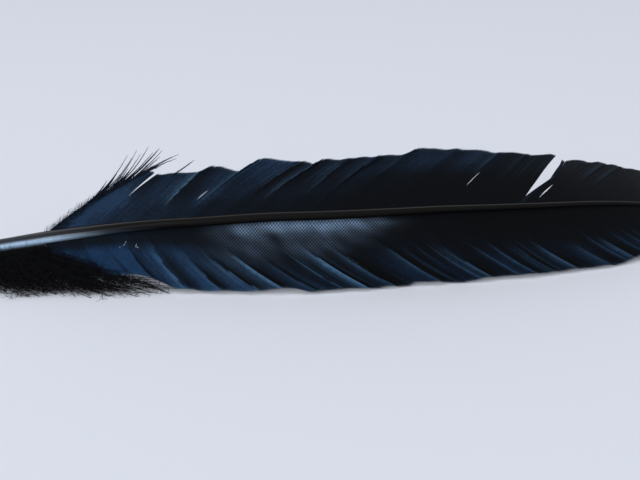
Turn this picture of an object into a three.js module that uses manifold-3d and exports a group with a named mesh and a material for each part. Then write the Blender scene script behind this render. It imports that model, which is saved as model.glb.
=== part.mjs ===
// A turkey's tail feather, lying as it comes to rest on a level surface: the quill's end, the tip
// and the free edge of the near vane touch the surface, so the whole blade leans over by about 45
// degrees.  It grew as one piece, so it is one solid: a tapered shaft, a vane to each side whose
// barbs have locked into overlapping locks, and a tuft of down at the foot of the vanes.
//
// Millimetres, +X from quill to tip, +Z up, +Y from the near vane to the far one.

import * as THREE from 'three';
import Module from 'manifold-3d';
import { mergeVertices } from 'three/addons/utils/BufferGeometryUtils.js';

// ---- Driving dimensions -------------------------------------------------------------------------

// Where the whole feather is set down, so that its box stands centred on the origin.
const setDown = [-8, 22.8, -0.2];

// The shaft's middle line: x, y, z.
const shaftLine = [
  [-165, -27.5, 2.3], [-150, -30.5, 5.2], [-127, -33.8, 10.4], [-101, -37.4, 16], [-73, -40.4, 21],
  [-45, -42.3, 24.3], [-10, -42, 26.4], [30, -38.4, 26.8], [70, -30.8, 25.3], [107, -18.8, 22.2],
  [133, -8.2, 18.6], [152, 1, 13.4], [166, 8.5, 7.6], [182, 17.5, 1.2],
];
// The shaft's half width across the blade, half height through it, and how far it stands towards
// the near vane from its line: x, width, height, aside.
const shaftSize = [
  [-165, 0.9, 0.9, 0.3], [-163.5, 1.7, 1.7, 0.3], [-158, 2.3, 2.3, 0.3], [-145, 2.8, 2.8, 0.4],
  [-127, 2.85, 2.85, 0.4], [-101, 2.85, 2.8, 0.3], [-89, 2.65, 2.6, 0.5], [-77, 2.2, 2.3, 0.5],
  [-65, 1.95, 2.1, 0.6], [-42, 1.95, 2.1, 1.2], [4, 1.83, 1.95, 1.2], [27, 1.6, 1.8, 1],
  [50, 1.4, 1.6, 0.4], [87, 1.2, 1.4, -0.1], [114, 1.03, 1.2, -0.7], [129, 0.95, 1.1, -0.8],
  [150, 0.75, 0.85, -0.3], [172, 0.35, 0.4, 0],
];
const shaftSides = 10;
const shaftStep = 9;
const shaftDrop = 0.4; // how far the shaft hangs below the vanes, in half heights

const vaneThickness = 0.7;
const vaneWidth = 30; // the width over which a vane turns from its root lean to its edge lean
const rippleDrop = 1.6; // the length of shaft over which one lock steps down to the next

// Each vane: side is -1 towards the viewer and +1 away.  lean is the slope of the blade in degrees
// at the shaft and at the free edge, by x.  barbs is the angle at which a barb leaves the shaft and
// how far it has turned forward at its tip, in degrees, by root.  lengths is each barb's length by
// root.  crests are the raised lips where one lock overlaps the next, with their heights.  slits are
// where barbs have come unhooked: how far the barbs of either side have moved, by share of length.
const nearVane = {
  side: -1,
  lean: [
    [-110, 46, 60], [-50, 46, 61], [0, 47, 62], [40, 54, 66], [70, 50, 64], [100, 46, 58],
    [130, 41, 53], [150, 38, 46], [178, 26, 30],
  ],
  barbs: [
    [-108, 62, 28], [-84, 66, 28], [-74, 66, 27], [-66, 61, 24], [-56, 56, 21], [-46, 52, 22],
    [-36, 51, 24], [0, 50, 23], [24, 50, 22], [54, 49, 21], [84, 47, 20], [108, 45, 18],
    [120, 43, 17], [132, 40, 16], [144, 36, 15], [154, 29, 12], [162, 20, 8], [168, -2, 2],
  ],
  lengths: [
    [-108, 25.5], [-100, 25.8], [-94, 26], [-88, 26.2], [-84.5, 26.6], [-82.5, 27.3], [-80, 29],
    [-77.5, 31.3], [-75, 34], [-70, 36.2], [-67, 38.4], [-61, 40.5], [-55, 43.1], [-49, 45.1],
    [-46, 45.6], [-43.5, 46.8], [-40, 49.9], [-34, 49.7], [-25, 49.2], [-16, 49.7], [-10, 48.9],
    [-7, 49.2], [-4, 49], [-2, 48], [0, 47.1], [5, 47], [8, 46.9], [12, 47.4], [17, 47.8],
    [23, 46.9], [29, 45.4], [35, 45.2], [59, 45.1], [65, 44.6], [83, 44.5], [87, 43.8], [92, 42],
    [97, 39.9], [108, 37], [120, 33.5], [132, 30], [144, 25.5], [154, 21], [162, 17], [168, 13],
  ],
  crests: [
    [-108, 0.3], [-79, 1.2], [-70, 1.2], [-61.5, 1.3], [-54, 1.4], [-47, 1.4], [-38.5, 0.8],
    [-28.5, 0.8], [-19.7, 1.6], [-9, 1.2], [10.5, 1.5], [31.5, 1.6], [50, 1.5], [58, 0.8],
    [67, 1.1], [81.5, 1.2], [95.5, 1.1], [110, 0.8], [122, 0.7], [134, 0.6], [148, 0.5],
    [168, 0.3],
  ],
  slits: [],
  rows: [-0.012, 0.16, 0.34, 0.52, 0.68, 0.84, 1],
};
const farVane = {
  side: 1,
  lean: [
    [-110, 50, 36], [-50, 44, 32], [0, 44, 34], [60, 42, 31], [95, 38, 27], [112, 31, 21],
    [150, 27, 16], [178, 16, 6],
  ],
  barbs: [
    [-108, 38, 8], [-100, 44, 11], [-90, 50, 15], [-60, 50, 14], [-30, 50, 13], [14, 50, 13],
    [36, 51, 12], [66, 52, 12], [84, 50, 11], [108, 46, 10], [120, 43, 10], [132, 40, 10],
    [144, 35, 10], [154, 27, 9], [162, 18, 7], [168, -2, 2],
  ],
  lengths: [
    [-108, 29], [-102, 32], [-96, 36], [-91, 35.5], [-87, 33.9], [-86.8, 33], [-85, 33],
    [-82, 33.2], [-76, 32.3], [-70.5, 31.4], [-67.5, 35.4], [-65.5, 35.6], [-64, 35], [-60, 33],
    [-57, 31.2], [-54.4, 29.8], [-52.3, 29.1], [-51.7, 34], [-50.9, 38], [-50, 38.7], [-48, 38.4],
    [-46, 37.8], [-42, 36.3], [-40, 35.6], [-37, 34.8], [-34, 34.3], [-32.5, 34.6], [-31.3, 34.9],
    [-30, 34.4], [-28, 33.3], [-26, 32.1], [-25.2, 31.8], [-24.7, 34.4], [-24, 36.2], [-23, 36.5],
    [-21, 35.9], [-18, 34.9], [-16.6, 34.8], [-15, 35.3], [-13, 35.5], [-11, 36.6], [-9, 37.1],
    [-7, 36.5], [-5, 36], [-3.5, 36], [-1.5, 37.4], [0, 37.8], [3, 37.4], [6, 37.2], [7.5, 38],
    [10.5, 42.8], [14, 42.8], [22.5, 41.1], [26, 41.7], [35, 41], [41, 39.8], [46.5, 37.4],
    [50, 39], [56, 38.5], [62, 37.2], [68, 37.7], [74, 39], [78, 37.9], [78.2, 35.1],
    [79.2, 35.1], [80, 36.8], [81.5, 38.8], [83.5, 39.7], [85.5, 39.4], [88.5, 38], [90, 38],
    [92, 39.1], [94.5, 38.4], [96, 37.5], [98.7, 38.8], [101, 38.2], [104, 36.5], [106, 36.5],
    [109, 37.3], [113, 37.3], [120, 35.3], [132, 30], [144, 25.5], [154, 21], [162, 17],
    [168, 13],
  ],
  crests: [
    [-108, 0.3], [-87, 0.7], [-68, 1], [-52.2, 1.2], [-33, 0.7], [-25.2, 1.1], [-13, 0.8],
    [-2.5, 0.8], [8.5, 1.1], [27, 0.5], [47.5, 0.9], [62, 0.6], [78, 0.8], [96, 0.8], [104, 0.6],
    [116, 0.5], [130, 0.5], [146, 0.5], [168, 0.3],
  ],
  slits: [
    { root: -87, before: [[0.48, 0], [1, -2.9]], after: [[0.48, 0], [1, -1.5]], reach: [9, 7] },
    {
      root: 78,
      before: [[0.16, 0], [0.45, -1.3], [0.68, -2.9], [1, -5.3]],
      after: [[0.16, 0], [0.5, 4.1], [0.84, 1.4], [1, -1]],
      reach: [12, 7],
    },
  ],
  rows: [-0.012, 0.16, 0.32, 0.48, 0.66, 0.84, 1],
};
const columnGap = 7.5; // the widest spacing of the columns of facets along the shaft
const crestGap = 0.8; // how close to a crest the columns on either side of it stand

// The down on the near side: wisps that fan out from backwards to forwards and sag onto the
// surface.  fan: place in the fan, root station, x, y, z of the bend and x, y, z of the tip.
const down = {
  fan: [
    [0, -131, -139, -52, 8, -134, -62, 1.2], [0.25, -127, -124, -55, 9, -113, -64, 1.2],
    [0.5, -122, -107, -54, 10, -93, -63, 1.2], [0.75, -116, -95, -53, 7, -73, -61, 1.1],
    [0.9, -111, -87, -51.5, 5, -58, -59.5, 1.1], [1, -107, -83, -50.5, 5, -44, -58, 1.1],
  ],
  count: 21, sides: 5, steps: 4, thick: 2.3, fine: 0.4, floor: 1.1,
};
// The loose barbs at the far vane's foot: root station, share of the barb where it comes loose,
// and the tip's x, y, z.
const looseBarbs = [
  [-107, 0.8, -76.6, -18.5, 42.6], [-105, 0.85, -72.8, -18.5, 44.6], [-102, 0.85, -68.1, -18, 46],
  [-98, 0.85, -63.7, -18, 45.3], [-94, 0.85, -56.2, -18, 42.9], [-79.5, 0.93, -50.1, -18, 40.5],
];
const looseBarb = { sides: 4, steps: 3, thick: 0.8, fine: 0.3 };

// ---- Numbers ------------------------------------------------------------------------------------

const radians = (degrees) => (degrees * Math.PI) / 180;
const clamp = (value, low, high) => Math.min(high, Math.max(low, value));

// A smooth curve through a table's rows, read in one of its columns: it never swings past a row.
function along(rows, x, column) {
  const last = rows.length - 1;
  const slope = (k) => (rows[k + 1][column] - rows[k][column]) / (rows[k + 1][0] - rows[k][0]);
  const tangent = (k) => {
    if (k === 0) return slope(0);
    if (k === last) return slope(last - 1);
    const [before, after] = [slope(k - 1), slope(k)];
    return before * after > 0 ? (2 * before * after) / (before + after) : 0;
  };
  let k = 0;
  while (k < last - 1 && x >= rows[k + 1][0]) k += 1;
  const width = rows[k + 1][0] - rows[k][0];
  const u = clamp((x - rows[k][0]) / width, 0, 1);
  return rows[k][column] * (1 + 2 * u) * (1 - u) ** 2
    + rows[k + 1][column] * u * u * (3 - 2 * u)
    + width * tangent(k) * u * (1 - u) ** 2
    - width * tangent(k + 1) * u * u * (1 - u);
}

// Straight lines between a table's rows, level beyond its ends.
function straight(rows, x) {
  if (x <= rows[0][0]) return rows[0][1];
  for (let k = 1; k < rows.length; k += 1) {
    const [x0, y0] = rows[k - 1];
    const [x1, y1] = rows[k];
    if (x <= x1) return y0 + ((y1 - y0) * (x - x0)) / (x1 - x0);
  }
  return rows[rows.length - 1][1];
}

// The same wobble on every run, between -1 and 1.
const wobble = (seed) => {
  const value = Math.sin(seed * 12.9898) * 43758.5453;
  return 2 * (value - Math.floor(value)) - 1;
};

// ---- The blade's shape --------------------------------------------------------------------------

// Where a barb's root acts from at a share of its length, once the slits have pushed it aside.
// after says on which side of a slit a barb stands that is rooted right on it.
function settledRoot(vane, root, share, after) {
  let settled = root;
  for (const slit of vane.slits) {
    const isAfter = root === slit.root ? after : root > slit.root;
    const push = straight(isAfter ? slit.after : slit.before, share);
    settled += push * Math.exp(-Math.abs(root - slit.root) / slit.reach[isAfter ? 1 : 0]);
  }
  return settled;
}

// How far the blade stands proud of its smooth form: each lock curls up to its crest and steps
// down to the next, more so towards the free edge.
function rippleHeight(vane, root, share) {
  const { crests } = vane;
  let k = 1;
  while (k < crests.length - 1 && root >= crests[k][0]) k += 1;
  const [start, before] = crests[k - 1];
  const [end, height] = crests[k];
  const rise = clamp((root - start) / (end - start), 0, 1) ** 1.7;
  const fall = 1 - Math.min(1, (root - start) / rippleDrop);
  return (height * (rise - 0.35) + before * fall) * Math.max(0, share) ** 1.6;
}

// The step across the blade at a station, out from the middle line by width and up by height.
function acrossBlade(vane, x, width, height) {
  const root = radians(along(vane.lean, x, 1));
  const edge = radians(along(vane.lean, x, 2));
  const turn = (edge - root) / vaneWidth;
  const lean = root + turn * width;
  return [
    (vane.side * (Math.sin(lean) - Math.sin(root))) / turn - Math.sin(lean) * height,
    (vane.side * (Math.cos(root) - Math.cos(lean))) / turn + Math.cos(lean) * height,
  ];
}

// A point of a vane: the barb from root, at a share of its length, height above the smooth blade.
function vanePoint(vane, root, share, height, after = true) {
  const length = along(vane.lengths, root, 1);
  const leave = radians(along(vane.barbs, root, 1));
  const turn = radians(along(vane.barbs, root, 2));
  const scale = length / turn;
  const x = settledRoot(vane, root, share, after)
    + scale * (Math.sin(leave) - Math.sin(leave - turn * share));
  const width = scale * (Math.cos(leave - turn * share) - Math.cos(leave));
  const [y, z] = acrossBlade(vane, x, width, height + rippleHeight(vane, root, share));
  return [x, along(shaftLine, x, 1) + y, along(shaftLine, x, 2) + z];
}

// ---- Solids -------------------------------------------------------------------------------------

const wasm = await Module();
wasm.setup();

function solidFrom(points, triangles) {
  return new wasm.Manifold(new wasm.Mesh({
    numProp: 3,
    vertProperties: new Float32Array(points.flat()),
    triVerts: new Uint32Array(triangles.flat()),
  }));
}

// A closed tube of rings: each ring is a list of points, and the two ends are closed by fans.
function tubeFrom(rings) {
  const sides = rings[0].length;
  const points = rings.flat();
  const triangles = [];
  for (let i = 0; i < rings.length - 1; i += 1) {
    for (let j = 0; j < sides; j += 1) {
      const a = i * sides + j;
      const b = i * sides + ((j + 1) % sides);
      triangles.push([a, b, b + sides], [a, b + sides, a + sides]);
    }
  }
  const centre = (ring) => [0, 1, 2].map((k) => ring.reduce((sum, p) => sum + p[k], 0) / sides);
  const first = points.push(centre(rings[0])) - 1;
  const last = points.push(centre(rings[rings.length - 1])) - 1;
  const end = (rings.length - 1) * sides;
  for (let j = 0; j < sides; j += 1) {
    const next = (j + 1) % sides;
    triangles.push([first, next, j], [last, end + j, end + next]);
  }
  return solidFrom(points, triangles);
}

// The shaft: an oval that follows the middle line, turned with the blade's lean.
function makeShaft() {
  const start = shaftSize[0][0];
  const end = shaftSize[shaftSize.length - 1][0];
  const stations = [start, start + 1.5, start + 4];
  const count = Math.ceil((end - start - 7) / shaftStep);
  for (let i = 0; i <= count; i += 1) stations.push(start + 7 + ((end - start - 7) * i) / count);
  return tubeFrom(stations.map((x) => {
    const lean = radians((along(nearVane.lean, x, 1) + along(farVane.lean, x, 1)) / 2);
    const halfWidth = along(shaftSize, x, 1);
    const halfHeight = along(shaftSize, x, 2);
    return Array.from({ length: shaftSides }, (_, j) => {
      const angle = (2 * Math.PI * j) / shaftSides;
      const across = halfWidth * Math.cos(angle) - along(shaftSize, x, 3);
      const up = halfHeight * (Math.sin(angle) - shaftDrop);
      return [
        x,
        along(shaftLine, x, 1) + across * Math.cos(lean) - up * Math.sin(lean),
        along(shaftLine, x, 2) + across * Math.sin(lean) + up * Math.cos(lean),
      ];
    });
  }));
}

// The stations of a vane's columns: close on both sides of each crest, and evenly between.
function columnStations(vane) {
  const stations = [];
  for (let k = 0; k < vane.crests.length - 1; k += 1) {
    const start = vane.crests[k][0] + (k > 0 ? rippleDrop : 0);
    const last = k === vane.crests.length - 2;
    const end = vane.crests[k + 1][0] - (last ? 0 : crestGap);
    const count = Math.max(1, Math.ceil((end - start) / columnGap));
    for (let i = 0; i <= count; i += 1) stations.push(start + ((end - start) * i) / count);
  }
  for (const slit of vane.slits) stations.push(slit.root);
  return stations.sort((a, b) => a - b);
}

// A vane: a thin slab of facets, one column to a station and one row to a share of the barbs'
// length.  Along a slit the column is doubled, so the slab parts there.
function makeVane(vane) {
  const stations = columnStations(vane);
  const points = [];
  const triangles = [];
  const numbers = new Map();
  const slitStart = (root) => vane.slits.find((slit) => slit.root === root)?.before[0][0];
  const number = (column, row, after) => {
    const root = stations[column];
    const share = vane.rows[row];
    const start = slitStart(root);
    const parted = start !== undefined && share > start;
    const key = `${column} ${row} ${parted && after}`;
    if (!numbers.has(key)) {
      numbers.set(key, points.length);
      points.push(vanePoint(vane, root, share, vaneThickness / 2, after));
      points.push(vanePoint(vane, root, share, -vaneThickness / 2, after));
    }
    return numbers.get(key);
  };
  const open = new Map();
  const addCell = (corners) => {
    const [a, b, c, d] = vane.side > 0 ? corners : [...corners].reverse();
    triangles.push([a, b, c], [a, c, d], [a + 1, c + 1, b + 1], [a + 1, d + 1, c + 1]);
    [[a, b], [b, c], [c, d], [d, a]].forEach(([from, to]) => {
      if (!open.delete(`${to} ${from}`)) open.set(`${from} ${to}`, [from, to]);
    });
  };
  for (let i = 0; i < stations.length - 1; i += 1) {
    for (let j = 0; j < vane.rows.length - 1; j += 1) {
      addCell([
        number(i, j, true), number(i + 1, j, false),
        number(i + 1, j + 1, false), number(i, j + 1, true),
      ]);
    }
  }
  for (const [from, to] of open.values()) {
    triangles.push([to, from, from + 1], [to, from + 1, to + 1]);
  }
  return solidFrom(points, triangles);
}

// A wisp: a thin tapered tube along a curve from one point to another, bent towards a third.
function makeWisp(from, bend, to, form) {
  const curve = new THREE.QuadraticBezierCurve3(
    new THREE.Vector3(...from), new THREE.Vector3(...bend), new THREE.Vector3(...to),
  );
  const rings = [];
  for (let i = 0; i <= form.steps; i += 1) {
    const share = i / form.steps;
    const centre = curve.getPoint(share);
    const ahead = curve.getTangent(share);
    const across = new THREE.Vector3().crossVectors(new THREE.Vector3(0, 0, 1), ahead).normalize();
    const over = new THREE.Vector3().crossVectors(ahead, across);
    const radius = form.fine + (form.thick - form.fine) * (1 - share) * (1 + share);
    rings.push(Array.from({ length: form.sides }, (_, j) => {
      const angle = (2 * Math.PI * j) / form.sides;
      return centre.clone()
        .addScaledVector(across, radius * Math.cos(angle))
        .addScaledVector(over, radius * Math.sin(angle))
        .toArray();
    }));
  }
  return tubeFrom(rings);
}

// The down on the near side, as a list of wisps: every other one lies lower and ends sooner.
function makeDown() {
  return Array.from({ length: down.count }, (_, i) => {
    const fan = (row) => along(down.fan, i / (down.count - 1), row);
    const x = fan(1);
    const low = i % 2;
    const root = [x, along(shaftLine, x, 1), along(shaftLine, x, 2) - 1.4];
    const bend = [fan(2), fan(3), fan(4) - 3 * low + wobble(i + 80)];
    const tip = [fan(5) - 4 * low, fan(6) + 3 * low + wobble(i + 40), Math.max(fan(7), down.floor)];
    return makeWisp(root, bend, tip, down);
  });
}

// The loose barbs at the far vane's foot: each carries on from its place in the vane.
function makeLooseBarbs() {
  return looseBarbs.map(([root, share, x, y, z]) => {
    const from = vanePoint(farVane, root, share - 0.15, 0);
    const at = vanePoint(farVane, root, share, 0);
    const bend = at.map((value, k) => value + (value - from[k]) * 1.2);
    return makeWisp(from, bend, [x, y, z], looseBarb);
  });
}

// ---- The part -----------------------------------------------------------------------------------

// The outside of a mesh alone: its largest shell, so that no pocket stays sealed between wisps.
function outerShell(geometry) {
  const index = geometry.index.array;
  const leader = Array.from({ length: geometry.attributes.position.count }, (_, k) => k);
  const find = (k) => {
    let top = k;
    while (leader[top] !== top) top = leader[top];
    leader[k] = top;
    return top;
  };
  for (let t = 0; t < index.length; t += 3) {
    leader[find(index[t])] = find(index[t + 1]);
    leader[find(index[t + 1])] = find(index[t + 2]);
  }
  const shells = new Map();
  for (let t = 0; t < index.length; t += 3) {
    const name = find(index[t]);
    if (!shells.has(name)) shells.set(name, []);
    shells.get(name).push(index[t], index[t + 1], index[t + 2]);
  }
  geometry.setIndex([...shells.values()].sort((a, b) => b.length - a.length)[0]);
  return geometry;
}

function makeFeather() {
  const pieces = [makeVane(nearVane), makeVane(farVane), ...makeDown(), ...makeLooseBarbs()];
  const solid = pieces.reduce((whole, piece) => whole.add(piece), makeShaft());
  const mesh = solid.getMesh();
  const geometry = new THREE.BufferGeometry();
  geometry.setAttribute('position', new THREE.BufferAttribute(mesh.vertProperties, 3));
  geometry.setIndex(new THREE.BufferAttribute(mesh.triVerts, 1));
  return outerShell(mergeVertices(geometry, 1e-3));
}

const feather = new THREE.Mesh(
  makeFeather(),
  new THREE.MeshStandardMaterial({ color: 0x11161f, roughness: 0.55, metalness: 0 }),
);
feather.name = 'feather';
feather.position.set(...setDown);

const part = new THREE.Group();
part.add(feather);

export default part;
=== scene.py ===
import bpy
import numpy as np
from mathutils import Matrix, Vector


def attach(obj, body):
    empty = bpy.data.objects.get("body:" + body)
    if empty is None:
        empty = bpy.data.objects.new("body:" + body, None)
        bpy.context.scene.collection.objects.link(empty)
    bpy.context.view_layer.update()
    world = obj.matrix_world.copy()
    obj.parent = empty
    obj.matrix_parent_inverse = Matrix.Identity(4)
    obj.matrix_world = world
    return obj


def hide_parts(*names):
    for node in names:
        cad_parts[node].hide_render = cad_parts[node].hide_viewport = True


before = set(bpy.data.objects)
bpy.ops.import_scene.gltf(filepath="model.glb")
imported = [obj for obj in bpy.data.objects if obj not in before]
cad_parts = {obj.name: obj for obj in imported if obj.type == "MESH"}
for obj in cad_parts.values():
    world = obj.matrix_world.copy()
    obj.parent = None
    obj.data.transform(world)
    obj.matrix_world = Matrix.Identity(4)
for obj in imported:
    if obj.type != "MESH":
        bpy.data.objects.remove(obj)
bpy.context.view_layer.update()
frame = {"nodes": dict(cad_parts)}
print("frame loaded:", ", ".join(frame["nodes"]))

mm = 0.001
dice = np.random.default_rng(7)  # for the shapes and the slow changes of shade
shadeDice = np.random.default_rng(19)  # for the fine streaks

# The blade that every piece follows, in millimetres: how it is set down on the surface, the
# shaft's middle line as x, y, z, and the width over which a vane turns to its edge lean.
blade = {
    "setDown": (-8, 22.8, -0.2),
    "line": [
        (-165, -27.5, 2.3), (-150, -30.5, 5.2), (-127, -33.8, 10.4), (-101, -37.4, 16),
        (-73, -40.4, 21), (-45, -42.3, 24.3), (-10, -42, 26.4), (30, -38.4, 26.8),
        (70, -30.8, 25.3), (107, -18.8, 22.2), (133, -8.2, 18.6), (152, 1, 13.4),
        (166, 8.5, 7.6), (182, 17.5, 1.2),
    ],
    "turnWidth": 30,
}

# How locks stand proud: the power of the rise to a crest, the share of a crest's height that is
# taken off all along, the length of the step down and the power of the growth to the free edge.
rippleForm = {"rise": 1.7, "base": 0.35, "drop": 1.6, "growth": 1.6}

# Each vane, with side -1 for the near one and 1 for the far one.
# lean: x, slope in degrees at the shaft and at the free edge.
# barbs: root station, angle to the shaft and how far a barb has turned forward at its tip.
# lengths: root station, length.
# crests: root station and height of each raised lip where one lock overlaps the next, then how
# bright the lip's painted highlight is, the share of a barb from which it shows and how dark the
# painted shade in the trough behind it is.
# bloom: root station, then how blue the barbs are near the shaft, half way and near the free edge.
# bloomShare: from which share to which the first gives way to the second.
# rim: how bright the painted highlight along the free edge is, beside its bloom.
# fine: how much fine streaks change the bloom, and how bright the brightest of them shine as
# painted highlights.
# lipLean: root station, how far a lip's painted highlight leans back along the shaft from foot to
# tip.
# sink: root station, how far below the shaft's line the barbs take root.
# sheen: how pale the painted sheen, a painted highlight beside the shaft, is by root station, and
# sheenShare the same by share of a barb.  sheenLean: how far back along the shaft the painted sheen
# leans.
# slits: root station, then how far the barbs before it and after it have moved, by share of their
# length, and how far that push reaches along the shaft.
nearVane = {
    "name": "near_vane",
    "side": -1,
    "lean": [
        (-110, 46, 60), (-50, 46, 61), (0, 47, 62), (40, 54, 66), (70, 50, 64), (100, 46, 58),
        (130, 41, 53), (150, 38, 46), (178, 26, 30),
    ],
    "barbs": [
        (-108, 62, 28), (-84, 66, 28), (-74, 66, 27), (-66, 61, 24), (-56, 56, 21), (-46, 52, 22),
        (-36, 51, 24), (0, 50, 23), (24, 50, 22), (54, 49, 21), (84, 47, 20), (108, 45, 18),
        (120, 43, 17), (132, 40, 16), (144, 36, 15), (154, 29, 12), (162, 20, 8), (168, -2, 2),
    ],
    "lengths": [
        (-108, 25.5), (-100, 25.8), (-94, 26), (-88, 26.2), (-84.5, 26.6), (-82.5, 27.3),
        (-80, 29), (-77.5, 31.3), (-75, 34), (-70, 36.2), (-67, 38.4), (-61, 40.5), (-55, 43.1),
        (-49, 45.1), (-46, 45.6), (-43.5, 46.8), (-40, 49.9), (-34, 49.7), (-25, 49.2),
        (-16, 49.7), (-10, 48.9), (-7, 49.2), (-4, 49), (-2, 48), (0, 47.1), (5, 47), (8, 46.9),
        (12, 47.4), (17, 47.8), (23, 46.9), (29, 45.4), (35, 45.2), (59, 45.1), (65, 44.6),
        (83, 44.5), (87, 43.8), (92, 42), (97, 39.9), (108, 37), (120, 33.5), (132, 30),
        (144, 25.5), (154, 21), (162, 17), (168, 13),
    ],
    "crests": [
        (-108, 0.3, 0, 0.5, 0), (-79, 1.2, 0.08, 0.35, 0), (-70, 1.2, 0.4, 0.3, 0.8),
        (-61.5, 1.3, 0.24, 0.38, 0.85), (-54, 1.4, 0.46, 0.52, 0.95), (-47, 1.4, 0.72, 0.55, 0.97),
        (-38.5, 0.8, 0.22, 0.5, 0.97), (-28.5, 0.8, 0.08, 0.5, 0.7),
        (-19.7, 1.6, 1.15, 0.42, 0.85), (-9, 1.2, 0.3, 0.5, 0.97), (10.5, 1.5, 0.56, 0.5, 0.97),
        (31.5, 1.6, 0.34, 0.5, 0.97), (50, 1.5, 0.22, 0.6, 0.95), (58, 0.8, 0.17, 0.6, 0.9),
        (67, 1.1, 0.32, 0.6, 0.95), (81.5, 1.2, 0.26, 0.6, 0.95), (95.5, 1.1, 0.5, 0.6, 0.97),
        (110, 0.8, 0.2, 0.62, 0.9), (122, 0.7, 0.18, 0.62, 0.9), (134, 0.6, 0.15, 0.65, 0.8),
        (148, 0.5, 0.1, 0.65, 0.8), (168, 0.3, 0.08, 0.7, 0.5),
    ],
    "bloom": [
        (-108, 0.1, 0.7, 0.8), (-96, 0.12, 1.05, 1.05), (-80, 0.12, 1.1, 1.1),
        (-68, 0.08, 0.88, 1.02), (-58, 0.05, 0.35, 0.85), (-45, 0.04, 0.12, 0.46),
        (-20, 0.03, 0.06, 0.27), (12, 0.02, 0.05, 0.26), (35, 0.02, 0.04, 0.25),
        (60, 0.01, 0.03, 0.25), (100, 0.01, 0.03, 0.22), (168, 0.02, 0.03, 0.12),
    ],
    # Close to the shaft the near vane's blue stays low: partly the barbs' own black, partly painted
    # shade below the shaft.
    "bloomShare": (0.24, 0.46),
    "rimHighlight": 0.22,
    "fine": (0.42, 0.24),
    "lipLean": [(-60, 3), (-54, -6), (-47, -1), (-25, -1), (170, 0)],
    "sink": [(-108, 2.1), (-60, 1.8), (0, 1.6), (100, 1), (168, 0.1)],
    "paintedSheen": [
        (-170, 0), (-52, 0), (-42, 0.15), (-32, 0.6), (-20, 1), (4, 1), (12, 0.75), (19, 0.35),
        (26, 0.05), (36, 0), (170, 0),
    ],
    "sheenShare": [
        (0.085, 0), (0.115, 1), (0.17, 1), (0.22, 0.42), (0.3, 0.15), (0.42, 0.09), (0.54, 0.03),
        (0.66, 0),
    ],
    "sheenLean": 62,
    "slits": [],
}
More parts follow.
